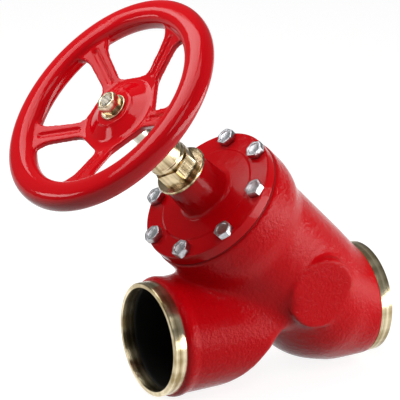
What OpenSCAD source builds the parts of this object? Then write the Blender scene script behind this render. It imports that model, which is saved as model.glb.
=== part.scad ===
// Oblique shut-off valve with butt-weld ends, a bolted bonnet and a rising handwheel.
// The origin is the centre of the inlet weld face, +X runs with the flow and +Z is up.
// Heights on the stem are measured from the point where the stem meets the pipe axis.

/* [Weld ends] */
// Outer diameter of the pipe that the ends are welded to
pipe_od = 168.3; // [150:0.1:175]
// Wall of the weld ends
pipe_wall = 7.1; // [5:0.1:9]
// Length of each bare machined stub
stub_len = 19; // [14:1:24]
// Depth of the weld bevel
bevel_len = 3.2; // [2:0.1:5]
// Thickness of the blunt nose left at the bevel
root_face = 2; // [1:0.1:3]
// Inlet face to the point where the stem meets the pipe axis
inlet_len = 72; // [66:1:80]
// Outlet face to the point where the stem meets the pipe axis
outlet_len = 302; // [295:1:330]

/* [Housing] */
// Angle between the stem and the pipe axis
stem_tilt = 45; // [43:1:47]
// Outer radius of the barrel round the stem
barrel_r = 98; // [95:0.5:101]
// Wall of the casting
body_wall = 12; // [9:0.5:14]
// Outer radius of the branch casting behind the stubs
branch_r = 87; // [86:0.1:89]
// Extra radius of the collar at the outlet stub
back_rise = 2.5; // [1:0.1:4]
// Height of the ball centre under the seat
ball_h = 25; // [18:1:30]
// Height of the seat on the stem
seat_h = 100; // [96:1:106]
// Thickness of the web that carries the seat
web_t = 12; // [9:0.5:15]
// Radius of the seat opening
seat_r = 68; // [62:0.5:70]
// Height of the seat bead over the web
bead_h = 2; // [1:0.1:3]
// Radius of the round pad on each side of the housing
pad_r = 55; // [46:1:58]
// Distance of the pads from the middle plane
pad_y = 99.5; // [98.5:0.1:102]

/* [Bonnet flange] */
// Outer radius of the flange
flange_r = 110; // [108:0.5:114]
// Height of the flange face on the stem
flange_h = 279.6; // [270:0.1:290]
// Thickness of the housing flange
flange_t = 39; // [34:1:42]
// Radius of the opening that the bonnet spigot enters
spigot_r = 79; // [78:0.1:80]
// Radius of the bolt circle
bolt_circle_r = 96; // [95:0.5:97]
// Number of bonnet bolts
bolt_n = 8; // [4:1:8]
// Turn of the bolt pattern about the stem
bolt_turn = 27; // [0:1:44]
// Shank radius of the bonnet bolts
bolt_r = 8; // [6:0.5:8]
// Width across flats of the bolt heads
bolt_af = 24; // [18:1:24]
// Height of the bolt heads
bolt_head_h = 10; // [7:0.5:12]
// Length of the bolts under the head
bolt_len = 45; // [38:1:48]

/* [Bonnet] */
// Thickness of the bonnet gasket
gasket_t = 1.6; // [1:0.1:2.5]
// Thickness of the bonnet plate
bonnet_t = 17.2; // [14:0.1:20]
// Radius of the raised round face inside the bolts
face_r = 76; // [70:0.5:80]
// Height of that raised face
face_t = 1.5; // [0.5:0.1:3]
// Length of the spigot below the flange face
spigot_len = 16; // [10:1:22]
// Neck radius at the top
neck_r = 36; // [34:0.5:38]
// Neck radius at its foot
neck_foot_r = 40; // [38:0.5:44]
// Height of the neck over the bonnet plate
neck_len = 57.6; // [50:0.1:64]
// Length of the thread boss inside the bonnet
boss_len = 40; // [30:1:48]

/* [Gland] */
// Radius of the gland disc
gland_disc_r = 40; // [38:0.5:42]
// Thickness of the gland disc
gland_disc_t = 5; // [4:0.5:7]
// Width across flats of the gland hexagon
gland_af = 55; // [52:1:60]
// Height of the gland hexagon
gland_hex_h = 24; // [18:1:28]
// Radius of the gland barrel over the hexagon
gland_top_r = 29; // [26:0.5:30]
// Height of the gland barrel over the groove
gland_top_h = 39; // [30:1:42]
// Radius of the gland thread in the neck
gland_thread_r = 26; // [24:0.5:28]
// Length of the gland below its disc
gland_depth = 22; // [18:1:26]

/* [Spindle] */
// Radius of the plain spindle
spindle_r = 14; // [13:0.5:15]
// Radius over the spindle thread
thread_r = 16; // [15.5:0.5:18]
// Travel of the valve cone from shut to fully open
lift = 45; // [30:1:48]
// Running clearance of the spindle in its bores
run_gap = 0.05; // [0.02:0.01:0.1]
// Radius of the collar that seals against the bonnet when fully open
back_r = 18.5; // [17.5:0.5:19.5]
// Radius of the spindle head inside the cone
head_r = 22; // [20.5:0.5:23.5]
// Width across flats of the square under the handwheel
square_af = 22; // [18:1:22]

/* [Valve cone] */
// Outer radius of the valve cone
cone_r = 77; // [75:0.5:77.5]
// Thickness of the cone plate
cone_t = 20; // [17:1:26]
// Outer radius of the cone hub
hub_r = 34; // [31:1:38]
// Inner radius of the sealing ring
ring_in_r = 63; // [60:0.5:65]
// Thickness of the sealing ring
ring_t = 8; // [6:0.5:10]

/* [Handwheel] */
// Outer radius of the handwheel
wheel_r = 173.5; // [165:0.5:185]
// Radial width of the rim
rim_w = 41; // [36:0.5:44]
// Height of the rim
rim_h = 33; // [30:0.5:36]
// Wall of the rim, which is open underneath
rim_wall = 7.5; // [6:0.5:9]
// Number of spokes
spoke_n = 5; // [3:1:6]
// Turn of the spokes about the stem
spoke_turn = 29.3; // [0:0.1:71]
// Width of a spoke at the hub plate
spoke_w = 26; // [22:1:32]
// Angle by which each side of a spoke widens towards the rim
spoke_flare = 2.5; // [0:0.5:5]
// Angle at which the spokes rise towards the rim
spoke_rise = 19.5; // [12:0.5:22]
// Thickness of the spokes and the hub plate
plate_t = 8.5; // [7:0.5:11]
// Distance from the centre to the flat sides of the hub plate
hub_plate_r = 60.5; // [56:0.5:64]
// Drop of the hub plate from the washer seat to the spokes
hub_drop = 11.4; // [8:0.2:14]
// Radius of the wheel hub below the plate
wheel_hub_r = 28; // [24:1:32]
// Height of the wheel hub
wheel_hub_h = 43.6; // [38:0.2:48]
// Gap from the gland to the wheel hub when shut
wheel_gap = 42; // [36:1:48]
// Height of the rim centre over the washer seat
rim_rise = 9.8; // [6:0.2:14]

/* [Wheel nut] */
// Width across flats of the wheel nut
nut_af = 27; // [24:1:30]
// Height of the wheel nut
nut_h = 16; // [12:0.5:18]
// Radius of the wheel washer
washer_r = 20.5; // [18.5:0.5:22]
// Thickness of the wheel washer
washer_t = 3; // [2:0.5:4]

/* [Hidden] */
$fn = 96;

// Weld ends
pipe_or = pipe_od / 2;
bore_r = pipe_or - pipe_wall;
counterbore_len = stub_len - 2;
cast_bore_r = bore_r - 2;
inlet_r = branch_r - 1;
collar_len = 8;
chamfer = 1.5;

// Heights of the housing
cavity_r = barrel_r - body_wall;
web_h = seat_h - web_t;
seat_top_h = seat_h + bead_h;
bead_r = seat_r + 5;
neck_in_h = flange_h - flange_t;
shoulder_len = 48;
belly_round = 20;
saddle_h = 120;
throat_len = 12;
pad_h = seat_h - 5;
joint_gap = 0.15;
hole_gap = 0.75;
thread_gap = 0.05;
bolt_tip_gap = 4;

// Heights of the bonnet
bonnet_h = flange_h + gasket_t;
bonnet_top_h = bonnet_h + bonnet_t;
plate_r = flange_r - 2;
neck_top_h = bonnet_top_h + neck_len;
spigot_h = bonnet_h - spigot_len;
boss_h = spigot_h - boss_len;
boss_r = thread_r + 18;
edge_r = 2.5;
neck_fillet = 7;
thread_top_h = bonnet_top_h + 4;
bolt_depth = bolt_len - bonnet_t - gasket_t + bolt_tip_gap;

// Packing chamber
gland_gasket_t = 1;
gland_disc_h = neck_top_h + gland_gasket_t;
gland_foot_h = gland_disc_h - gland_depth;
packing_r = gland_thread_r - 2;
washer_low_t = 3;
packing_ring_h = 4;
packing_ring_n = 3;
spring_h = 6;
packing_h = gland_foot_h - spring_h - packing_ring_n * packing_ring_h - washer_low_t;
hex_h = gland_disc_h + gland_disc_t;
hex_turn = 12;
groove_h = hex_h + gland_hex_h;
groove_t = 4;
groove_r = gland_top_r - 5;
gland_top_z = groove_h + groove_t;
gland_end_h = gland_top_z + gland_top_h;
o_ring_r = 1.8;
o_groove_w = 4.6;
spindle_low_ring_h = gland_disc_h - 6;
spindle_up_ring_h = groove_h - 8;
outer_ring_h = gland_foot_h + 6;
scraper_t = 6;
scraper_r = spindle_r + 5;
bore_gland_r = spindle_r + run_gap;

// Back seat
back_ring_t = 3;
back_ring_in_r = thread_r + 0.4;
back_ring_out_r = thread_r + 6.5;

// Cone and spindle, with the valve shut
shut_gap = 0.05;
stop_gap = 0.3;
cone_h = seat_top_h + shut_gap;
lip_t = ring_t - 2;
retainer_r = ring_in_r + 3;
retainer_t = 6;
retainer_h = cone_h + ring_t - lip_t - retainer_t;
plate_h = cone_h + ring_t;
hub_h = cone_h + cone_t + ring_t - 6;
screw_r = 8;
screw_af = 24;
screw_head_h = 10;
screw_len = 20;
pocket_h = hub_h + 2;
thrust_t = 3;
head_h = pocket_h + thrust_t + shut_gap;
head_t = 14;
lock_in_r = back_r + stop_gap;
lock_out_r = hub_r - 6;
lock_h = head_h + head_t + stop_gap;
lock_t = 15;
hub_top_h = lock_h + lock_t + 2;
back_h = boss_h - lift - stop_gap;
back_t = 8;
spindle_neck_r = thread_r - 1;
screw_top_h = thread_top_h - lift - 2;

// Handwheel
wheel_h = gland_end_h + wheel_gap;
plate_top_h = wheel_h + wheel_hub_h;
rim_mid_r = wheel_r - rim_w / 2;
rim_mid_h = plate_top_h + rim_rise;
rim_cut_h = rim_mid_h - rim_h * 0.4;
rim_curve = 2.5;
rim_slot_w = rim_w - 2.6 * rim_wall;
rim_slot_h = rim_mid_h + rim_h / 2 - rim_wall;
seat_face_r = washer_r + 8.5;
valley_h = plate_top_h - hub_drop;
valley_r = hub_plate_r - 3;
web_out_r = rim_mid_r - rim_w / 4;
web_out_h = valley_h + (web_out_r - valley_r) * tan(spoke_rise);
window_r = wheel_r - rim_w + 7;
window_corner = 18;
rim_corner = 24;
slot_in_r = hub_plate_r + 6;
slot_out_r = wheel_r - rim_w - 6;
slot_w = 8;
slot_t = 3;
stud_r = nut_af / 3;
nut_turn = 55;
nut_base_h = plate_top_h + washer_t;
spindle_end_h = nut_base_h + nut_h;

// Points on an arc from angle a0 to a1
function arc(cx, cy, r, a0, a1, n) =
    [for (i = [0:n]) let (a = a0 + (a1 - a0) * i / n) [cx + r * cos(a), cy + r * sin(a)]];

// Outline of a slot that runs along X
function slot(x0, x1, w, n) =
    concat(arc(x1 - w / 2, 0, w / 2, -90, 90, n), arc(x0 + w / 2, 0, w / 2, 90, 270, n));

// Shoulder that swells from the barrel to the flange
function shoulder(n) =
    [for (i = [0:n]) let (t = i / n)
        [barrel_r + (flange_r - 1 - barrel_r) * (1 - cos(180 * t)) / 2, neck_in_h - shoulder_len * (1 - t)]];

// One window of the handwheel, between two spokes and centred on +X. Its corners are
// arcs that touch the side of the spoke and the rim or the hub plate.
half_a = 180 / spoke_n;
side_a = half_a - spoke_flare;
side_n = [sin(side_a), -cos(side_a)];
side_d = [cos(side_a), sin(side_a)];
side_p = hub_plate_r * [cos(half_a), sin(half_a)] + spoke_w / 2 * [sin(half_a), -cos(half_a)];
in_p = side_p + window_corner * side_n;
in_c = in_p + side_d * (hub_plate_r + window_corner - in_p[0]) / side_d[0];
out_p = side_p + rim_corner * side_n;
out_b = out_p * side_d;
out_c = out_p + side_d * (sqrt(out_b * out_b - out_p * out_p + pow(window_r - rim_corner, 2)) - out_b);
out_a = atan2(out_c[1], out_c[0]);
window_half = concat(
    arc(0, 0, window_r, 0, out_a, 5),
    arc(out_c[0], out_c[1], rim_corner, out_a, 90 + side_a, 5),
    arc(in_c[0], in_c[1], window_corner, 90 + side_a, 180, 5));
function mirror_y(p) = [for (i = [len(p) - 1:-1:0]) [p[i][0], -p[i][1]]];

// Squared-off ellipse from angle a0 to a1
function round_section(cx, cy, a, b, a0, a1, n) =
    [for (i = [0:n]) let (t = a0 + (a1 - a0) * i / n, c = cos(t), s = sin(t))
        [cx + a * sign(c) * pow(abs(c), 2 / rim_curve), cy + b * sign(s) * pow(abs(s), 2 / rim_curve)]];

// Puts a shape that is drawn along Z on the stem
module on_stem() {
    translate([inlet_len, 0, 0]) rotate([0, 90 - stem_tilt, 0]) children();
}

// Puts a shape that is drawn along Z on the pipe axis, towards the outlet
module on_pipe() {
    translate([inlet_len, 0, 0]) rotate([0, 90, 0]) children();
}

module tube(r_out, r_in, h0, h1) {
    rotate_extrude() translate([r_in, h0]) square([r_out - r_in, h1 - h0]);
}

module rod(r, h0, h1) {
    translate([0, 0, h0]) cylinder(r = r, h = h1 - h0);
}

// Hexagon with its corners turned off at the ends that are named
module hexagon(af, h0, h1, turn, top = true, low = false) {
    corner = af / 2 / cos(30);
    drop = (corner - af / 2 * 0.97) * tan(30);
    rotate([0, 0, turn]) intersection() {
        translate([0, 0, h0]) cylinder(r = corner, h = h1 - h0, $fn = 6);
        rotate_extrude() polygon([[0, h0], [low ? af / 2 * 0.97 : corner + 1, h0],
            [corner + 1, h0 + (low ? drop + 1 * tan(30) : 0)],
            [corner + 1, h1 - (top ? drop + 1 * tan(30) : 0)],
            [top ? af / 2 * 0.97 : corner + 1, h1], [0, h1]]);
    }
}

module around_bolts() {
    for (i = [0:bolt_n - 1])
        rotate([0, 0, bolt_turn + i * 360 / bolt_n]) translate([bolt_circle_r, 0, 0]) children();
}

// Everything over a height on the stem
module over_height(h) {
    on_stem() rod(outlet_len * 2, h, h + outlet_len * 2);
}

// Trough along the underside of the outlet branch, square to the stem and with round sides
module belly() {
    half_w = branch_r + back_rise;
    far = outlet_len * 2;
    on_stem() translate([-branch_r, 0, 0]) rotate([90, 0, 90]) linear_extrude(far) polygon(concat(
        arc(belly_round - half_w, web_h + belly_round, belly_round, 180, 270, 6),
        arc(half_w - belly_round, web_h + belly_round, belly_round, 270, 360, 6),
        [[half_w, far], [-half_w, far]]));
}

// Fillet where the branch runs in under the flange
module saddle() {
    end_x = outlet_len - stub_len - 2 * collar_len;
    intersection() {
        on_pipe() rotate_extrude() polygon([
            [0, web_h], [branch_r * 1.3, web_h], [branch_r * 1.15, end_x - 33],
            [branch_r + 5, end_x - 16], [branch_r, end_x], [0, end_x]]);
        on_stem() translate([0, 0, saddle_h]) cylinder(r1 = barrel_r + 0.5, r2 = flange_r - 4,
            h = neck_in_h - saddle_h);
    }
}

module outlet_branch() {
    shoulder_x = outlet_len - stub_len;
    intersection() {
        on_pipe() rotate_extrude() polygon([
            [0, 0], [branch_r, 0],
            [branch_r, shoulder_x - 2.5 * collar_len],
            [branch_r + back_rise, shoulder_x - 1.6 * collar_len],
            [branch_r + back_rise, shoulder_x - 0.6 * collar_len],
            [pipe_or + chamfer, shoulder_x], [pipe_or, shoulder_x],
            [pipe_or, outlet_len - bevel_len], [bore_r + root_face, outlet_len], [0, outlet_len]]);
        belly();
    }
}

module inlet_branch() {
    shoulder_x = stub_len - inlet_len;
    on_pipe() rotate_extrude() polygon([
        [0, -inlet_len], [bore_r + root_face, -inlet_len], [pipe_or, bevel_len - inlet_len],
        [pipe_or, shoulder_x], [pipe_or + chamfer / 2, shoulder_x],
        [inlet_r, shoulder_x + 2 * chamfer],
        [inlet_r, ball_h * cos(stem_tilt)], [0, ball_h * cos(stem_tilt)]]);
}

module barrel() {
    on_stem() rotate_extrude() polygon(concat(
        [[0, ball_h - barrel_r]],
        arc(0, ball_h, barrel_r, -84, 0, 14),
        shoulder(10),
        [[flange_r, neck_in_h + 3], [flange_r, flange_h - chamfer], [flange_r - chamfer, flange_h],
         [0, flange_h]]));
}

// Round pads that stand on the sides of the barrel
module side_pads() {
    on_stem() translate([0, 0, pad_h]) for (side = [-1, 1])
        rotate([side * 90, 0, 0]) rotate_extrude() polygon([
            [0, cavity_r * 0.5], [pad_r, cavity_r * 0.5], [pad_r, pad_y - 2 * chamfer],
            [pad_r - 2 * chamfer, pad_y], [0, pad_y]]);
}

// Chamber on the stem, with the seat across it
module chamber() {
    on_stem() rotate_extrude() polygon(concat(
        [[0, ball_h - cavity_r]],
        arc(0, ball_h, cavity_r, -84, 0, 14),
        [[cavity_r, web_h], [seat_r + 3, web_h], [seat_r, web_h + 3],
         [seat_r, seat_top_h - 1], [seat_r + 1, seat_top_h], [bead_r - 1, seat_top_h],
         [bead_r + 1, seat_h], [cavity_r, seat_h],
         [cavity_r, neck_in_h - throat_len], [spigot_r, neck_in_h - throat_len / 3],
         [spigot_r, flange_h + 1], [0, flange_h + 1]]));
}

module outlet_bore() {
    intersection() {
        on_pipe() rotate_extrude() polygon([
            [0, 0], [cast_bore_r, 0], [cast_bore_r, outlet_len - counterbore_len - 2],
            [bore_r, outlet_len - counterbore_len], [bore_r, outlet_len + 1], [0, outlet_len + 1]]);
        over_height(seat_h);
    }
}

module inlet_bore() {
    on_pipe() rotate_extrude() polygon([
        [0, -inlet_len - barrel_r], [bore_r, -inlet_len - barrel_r], [bore_r, counterbore_len - inlet_len],
        [cast_bore_r, counterbore_len + 2 - inlet_len], [cast_bore_r, 0], [0, 0]]);
}

module housing() {
    color("firebrick") difference() {
        union() {
            barrel();
            outlet_branch();
            saddle();
            inlet_branch();
            side_pads();
        }
        chamber();
        outlet_bore();
        inlet_bore();
        on_stem() around_bolts() rod(bolt_r + thread_gap, flange_h - bolt_depth, flange_h + 1);
    }
}

module bonnet() {
    color("firebrick") on_stem() difference() {
        rotate_extrude() polygon(concat(
            [[0, boss_h], [boss_r - 2, boss_h], [boss_r, boss_h + 2], [boss_r, spigot_h - 4],
             [boss_r + 4, spigot_h], [spigot_r - joint_gap - 1, spigot_h],
             [spigot_r - joint_gap, spigot_h + 1], [spigot_r - joint_gap, bonnet_h],
             [plate_r, bonnet_h]],
            arc(plate_r - edge_r, bonnet_top_h - edge_r, edge_r, 0, 90, 4),
            [[face_r + face_t, bonnet_top_h], [face_r, bonnet_top_h + face_t]],
            arc(neck_foot_r + neck_fillet, bonnet_top_h + face_t + neck_fillet, neck_fillet, 270, 184, 5),
            [[neck_r, neck_top_h - 1], [neck_r - 1, neck_top_h], [0, neck_top_h]]));
        rod(thread_r + run_gap, boss_h - 1, thread_top_h);
        rod(spindle_r + run_gap, thread_top_h - 1, packing_h + 1);
        rod(packing_r, packing_h, gland_foot_h + 0.5);
        rod(gland_thread_r, gland_foot_h - 0.5, neck_top_h + 1);
        rod(back_ring_out_r + thread_gap, boss_h - 1, boss_h + back_ring_t);
        around_bolts() rod(bolt_r + hole_gap, bonnet_h - 1, bonnet_top_h + 1);
    }
}

module bonnet_gasket() {
    color("dimgray") on_stem() difference() {
        tube(flange_r - chamfer, spigot_r + joint_gap, flange_h, bonnet_h);
        around_bolts() rod(bolt_r + hole_gap, flange_h - 1, bonnet_h + 1);
    }
}

module bonnet_bolts() {
    color("silver") on_stem() around_bolts() difference() {
        union() {
            hexagon(bolt_af, bonnet_top_h, bonnet_top_h + bolt_head_h, 15);
            rod(bolt_r, bonnet_top_h - bolt_len, bonnet_top_h + 1);
        }
        translate([0, 0, bonnet_top_h + bolt_head_h - 0.8])
            cylinder(r1 = bolt_r * 0.85, r2 = bolt_r * 1.05, h = 1);
    }
}

module packing_gland() {
    color("goldenrod") on_stem() difference() {
        union() {
            rotate_extrude() polygon([
                [0, gland_foot_h], [gland_thread_r - thread_gap - 1, gland_foot_h],
                [gland_thread_r - thread_gap, gland_foot_h + 1], [gland_thread_r - thread_gap, gland_disc_h],
                [gland_disc_r, gland_disc_h], [gland_disc_r, hex_h - 1], [gland_disc_r - 1, hex_h],
                [groove_r, hex_h], [groove_r, gland_top_z], [gland_top_r - 1, gland_top_z],
                [gland_top_r, gland_top_z + 1], [gland_top_r, gland_top_z + 5],
                [gland_top_r - 1, gland_top_z + 6], [gland_top_r - 1, gland_top_z + 8],
                [gland_top_r, gland_top_z + 9], [gland_top_r, gland_end_h - chamfer],
                [gland_top_r - chamfer, gland_end_h], [0, gland_end_h]]);
            hexagon(gland_af, hex_h, groove_h, hex_turn, true, true);
        }
        rod(bore_gland_r, gland_foot_h - 1, gland_end_h + 1);
        for (h = [spindle_low_ring_h, spindle_up_ring_h])
            tube(bore_gland_r + 2 * o_ring_r, bore_gland_r - 1, h - o_groove_w / 2, h + o_groove_w / 2);
        tube(gland_thread_r + 1, gland_thread_r - thread_gap - 2 * o_ring_r, outer_ring_h - o_groove_w / 2,
            outer_ring_h + o_groove_w / 2);
        rod(scraper_r + thread_gap, gland_end_h - scraper_t, gland_end_h + 1);
    }
}

module gland_gasket() {
    color("silver") on_stem() tube(neck_r - 2, gland_thread_r + joint_gap, neck_top_h, gland_disc_h);
}

module packing_washer() {
    color("silver") on_stem()
        tube(packing_r - joint_gap, spindle_r + stop_gap, packing_h, packing_h + washer_low_t);
}

// Chevron rings, each nested in the one below
module packing_rings() {
    mid = (packing_r + spindle_r) / 2;
    vee = 1.2;
    color("white") on_stem() for (i = [0:packing_ring_n - 1])
        translate([0, 0, packing_h + washer_low_t + i * packing_ring_h]) rotate_extrude() polygon([
            [bore_gland_r + 0.02, 0], [mid, i == 0 ? 0 : vee], [packing_r - thread_gap, 0],
            [packing_r - thread_gap, packing_ring_h],
            [mid, packing_ring_h + (i == packing_ring_n - 1 ? 0 : vee)],
            [bore_gland_r + 0.02, packing_ring_h]]);
}

// Disc spring under the gland, drawn as it lies when pressed
module packing_spring() {
    low = packing_h + washer_low_t + packing_ring_n * packing_ring_h;
    color("darkgray") on_stem() rotate_extrude() polygon([
        [spindle_r + 2, gland_foot_h - 2], [packing_r - 1, low], [packing_r - 0.5, low],
        [packing_r - 0.5, low + 2], [spindle_r + 3, gland_foot_h], [spindle_r + 2, gland_foot_h]]);
}

module o_ring(mid_r, h) {
    color("black") on_stem() translate([0, 0, h]) rotate_extrude() translate([mid_r, 0])
        circle(r = o_ring_r - 0.03, $fn = 24);
}

module gland_outer_o_ring() {
    o_ring(gland_thread_r - thread_gap - o_ring_r, outer_ring_h);
}

module spindle_lower_o_ring() {
    o_ring(bore_gland_r + o_ring_r, spindle_low_ring_h);
}

module spindle_upper_o_ring() {
    o_ring(bore_gland_r + o_ring_r, spindle_up_ring_h);
}

module gland_scraper() {
    color("white") on_stem() tube(scraper_r, bore_gland_r, gland_end_h - scraper_t, gland_end_h - 0.5);
}

module back_seat_ring() {
    color("white") on_stem() tube(back_ring_out_r, back_ring_in_r, boss_h, boss_h + back_ring_t);
}

module valve_cone() {
    color("lightslategray") on_stem() difference() {
        rotate_extrude() polygon([
            [0, retainer_h + retainer_t], [ring_in_r - joint_gap, retainer_h + retainer_t],
            [ring_in_r - joint_gap, plate_h], [cone_r, plate_h], [cone_r, hub_h - 6], [cone_r - 6, hub_h - 2],
            [hub_r + 12, hub_h], [hub_r, hub_h + 10], [hub_r, hub_top_h - 1], [hub_r - 1, hub_top_h],
            [0, hub_top_h]]);
        rod(head_r + stop_gap, pocket_h, lock_h + 1);
        rod(lock_out_r + thread_gap, lock_h, hub_top_h + 1);
        rod(screw_r + thread_gap, retainer_h, retainer_h + screw_len + 2);
    }
}

module cone_seal_ring() {
    color("white") on_stem() rotate_extrude() polygon([
        [ring_in_r, plate_h - lip_t], [retainer_r + joint_gap, plate_h - lip_t],
        [retainer_r + joint_gap, cone_h], [cone_r - 1.5, cone_h], [cone_r - 0.5, cone_h + 1],
        [cone_r - 0.5, plate_h], [ring_in_r, plate_h]]);
}

module seal_retainer() {
    color("silver") on_stem() difference() {
        rotate_extrude() polygon([
            [0, retainer_h], [retainer_r - 2, retainer_h], [retainer_r, retainer_h + 2],
            [retainer_r, retainer_h + retainer_t], [0, retainer_h + retainer_t]]);
        rod(screw_r + hole_gap, retainer_h - 1, retainer_h + retainer_t + 1);
    }
}

module retainer_screw() {
    color("silver") on_stem() union() {
        hexagon(screw_af, retainer_h - screw_head_h, retainer_h, 0, false, true);
        rod(screw_r, retainer_h - 1, retainer_h + screw_len);
    }
}

// Threaded ring that holds the spindle head in the cone, with two holes for a pin key
module cone_lock_ring() {
    color("darkkhaki") on_stem() difference() {
        tube(lock_out_r, lock_in_r, lock_h, lock_h + lock_t);
        for (a = [0, 180]) rotate([0, 0, a]) translate([(lock_in_r + lock_out_r) / 2, 0, 0])
            rod(2, lock_h + lock_t - 5, lock_h + lock_t + 1);
    }
}

module thrust_washer() {
    color("darkkhaki") on_stem() rod(head_r - 0.5, pocket_h, pocket_h + thrust_t);
}

module spindle() {
    square_h = wheel_h + 2;
    color("silver") on_stem() difference() {
        rotate_extrude() polygon([
            [0, head_h], [head_r - 1, head_h], [head_r, head_h + 1],
            [head_r, head_h + head_t - 1], [head_r - 1, head_h + head_t],
            [spindle_neck_r, head_h + head_t], [spindle_neck_r, back_h - back_t],
            [back_r, back_h - back_t + 1], [back_r, back_h], [thread_r, back_h],
            [thread_r, screw_top_h - 2], [spindle_r, screw_top_h], [spindle_r, plate_top_h - 1],
            [stud_r, plate_top_h - 1], [stud_r, spindle_end_h - 1], [stud_r - 1, spindle_end_h],
            [0, spindle_end_h]]);
        for (a = [0:90:270]) rotate([0, 0, a])
            translate([square_af / 2, -spindle_r - 1, square_h])
                cube([spindle_r, 2 * spindle_r + 2, plate_top_h - square_h]);
    }
}

// Ring of the handwheel, a channel that is open underneath
module rim() {
    low = (rim_mid_h - rim_cut_h) / (rim_h / 2);
    cut_a = asin(pow(low, rim_curve / 2));
    rotate_extrude() polygon(concat(
        round_section(rim_mid_r, rim_mid_h, rim_w / 2, rim_h / 2, -cut_a, 180 + cut_a, 20),
        [[rim_mid_r - rim_slot_w / 2, rim_cut_h]],
        round_section(rim_mid_r, rim_mid_h, rim_slot_w / 2, rim_slot_h - rim_mid_h, 180, 0, 8),
        [[rim_mid_r + rim_slot_w / 2, rim_cut_h]]));
}

// Upper outline of the hub plate and the spokes, from the washer seat to the rim
web_top = [[seat_face_r, plate_top_h], [seat_face_r, plate_top_h - 1], [seat_face_r + 2, plate_top_h - 2],
    [valley_r - 8, valley_h + 1], [valley_r, valley_h], [valley_r + 6, valley_h + 1],
    [web_out_r, web_out_h]];

// Hub and web before the windows are cut
module wheel_web() {
    rotate_extrude() polygon(concat(
        [[0, wheel_h], [wheel_hub_r - 1, wheel_h], [wheel_hub_r, wheel_h + 1],
         [wheel_hub_r, valley_h - plate_t - 6], [wheel_hub_r + 6, valley_h - plate_t],
         [valley_r + 6, valley_h - plate_t], [web_out_r, web_out_h - plate_t]],
        [for (i = [len(web_top) - 1:-1:0]) web_top[i]],
        [[0, plate_top_h]]));
}

// Long recess in the top of a spoke that points along X
module spoke_recess() {
    intersection() {
        translate([0, 0, valley_h - plate_t]) linear_extrude(rim_h + hub_drop + plate_t)
            polygon(slot(slot_in_r, slot_out_r, slot_w, 6));
        rotate_extrude() polygon([
            [valley_r, valley_h + 1 - slot_t - 6 * tan(spoke_rise)], [web_out_r, web_out_h - slot_t],
            [web_out_r, web_out_h + slot_t], [valley_r, web_out_h + slot_t]]);
    }
}

module handwheel() {
    color("firebrick") on_stem() difference() {
        union() {
            rim();
            difference() {
                wheel_web();
                for (i = [0:spoke_n - 1]) rotate([0, 0, spoke_turn + i * 360 / spoke_n]) {
                    rotate([0, 0, half_a]) translate([0, 0, wheel_h - 1])
                        linear_extrude(rim_mid_h + rim_h - wheel_h)
                            polygon(concat(mirror_y(window_half), window_half));
                    spoke_recess();
                }
            }
        }
        intersection() {
            rod(bore_gland_r, wheel_h - 1, plate_top_h + 2);
            translate([-square_af / 2 - thread_gap, -square_af / 2 - thread_gap, wheel_h - 1])
                cube([square_af + 2 * thread_gap, square_af + 2 * thread_gap, wheel_hub_h + 4]);
        }
        rod(bore_gland_r, wheel_h - 1, wheel_h + 2);
    }
}

module wheel_washer() {
    color("goldenrod") on_stem() rotate_extrude() polygon([
        [stud_r + 0.3, plate_top_h], [washer_r, plate_top_h], [washer_r, nut_base_h - 0.7],
        [washer_r - 0.7, nut_base_h], [stud_r + 0.3, nut_base_h]]);
}

module wheel_nut() {
    color("khaki") on_stem() difference() {
        hexagon(nut_af, nut_base_h, spindle_end_h, nut_turn, true, true);
        rod(stud_r + thread_gap, nut_base_h - 1, spindle_end_h + 1);
        translate([0, 0, spindle_end_h - 1]) cylinder(r1 = stud_r, r2 = stud_r + 2, h = 2);
    }
}

housing();
bonnet();
bonnet_gasket();
bonnet_bolts();
packing_gland();
gland_gasket();
packing_washer();
packing_rings();
packing_spring();
gland_outer_o_ring();
spindle_lower_o_ring();
spindle_upper_o_ring();
gland_scraper();
back_seat_ring();
valve_cone();
cone_seal_ring();
seal_retainer();
retainer_screw();
cone_lock_ring();
thrust_washer();
spindle();
handwheel();
wheel_washer();
wheel_nut();
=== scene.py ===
from math import cos, pi, radians, sin, sqrt

import bpy
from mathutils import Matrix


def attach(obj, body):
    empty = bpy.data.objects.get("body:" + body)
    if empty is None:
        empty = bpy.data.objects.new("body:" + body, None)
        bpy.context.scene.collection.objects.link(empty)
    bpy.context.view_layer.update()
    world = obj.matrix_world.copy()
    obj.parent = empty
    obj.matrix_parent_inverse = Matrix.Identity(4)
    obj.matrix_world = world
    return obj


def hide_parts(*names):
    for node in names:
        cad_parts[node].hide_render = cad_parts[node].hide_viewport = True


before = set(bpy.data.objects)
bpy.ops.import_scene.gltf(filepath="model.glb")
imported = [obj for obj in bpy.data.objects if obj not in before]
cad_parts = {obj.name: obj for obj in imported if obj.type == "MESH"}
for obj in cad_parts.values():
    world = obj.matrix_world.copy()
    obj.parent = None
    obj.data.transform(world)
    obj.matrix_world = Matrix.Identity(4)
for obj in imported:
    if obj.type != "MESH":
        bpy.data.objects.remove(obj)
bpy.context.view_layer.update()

# Camera
# A long lens looks down at the valve from its outlet side, so that the handwheel comes
# up on the left and the open weld end points at the viewer.
bpy.ops.object.select_all(action="DESELECT")
bpy.ops.object.camera_add(location=(1.79161, 2.52914, 1.34069),
                          rotation=(radians(68.85379), radians(-1.82252), radians(150.05878)))
viewer = bpy.context.object
viewer.name = "viewer"
viewer.data.sensor_width = 36
viewer.data.lens = 197.887
viewer.data.clip_end = 60
bpy.context.scene.camera = viewer

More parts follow.
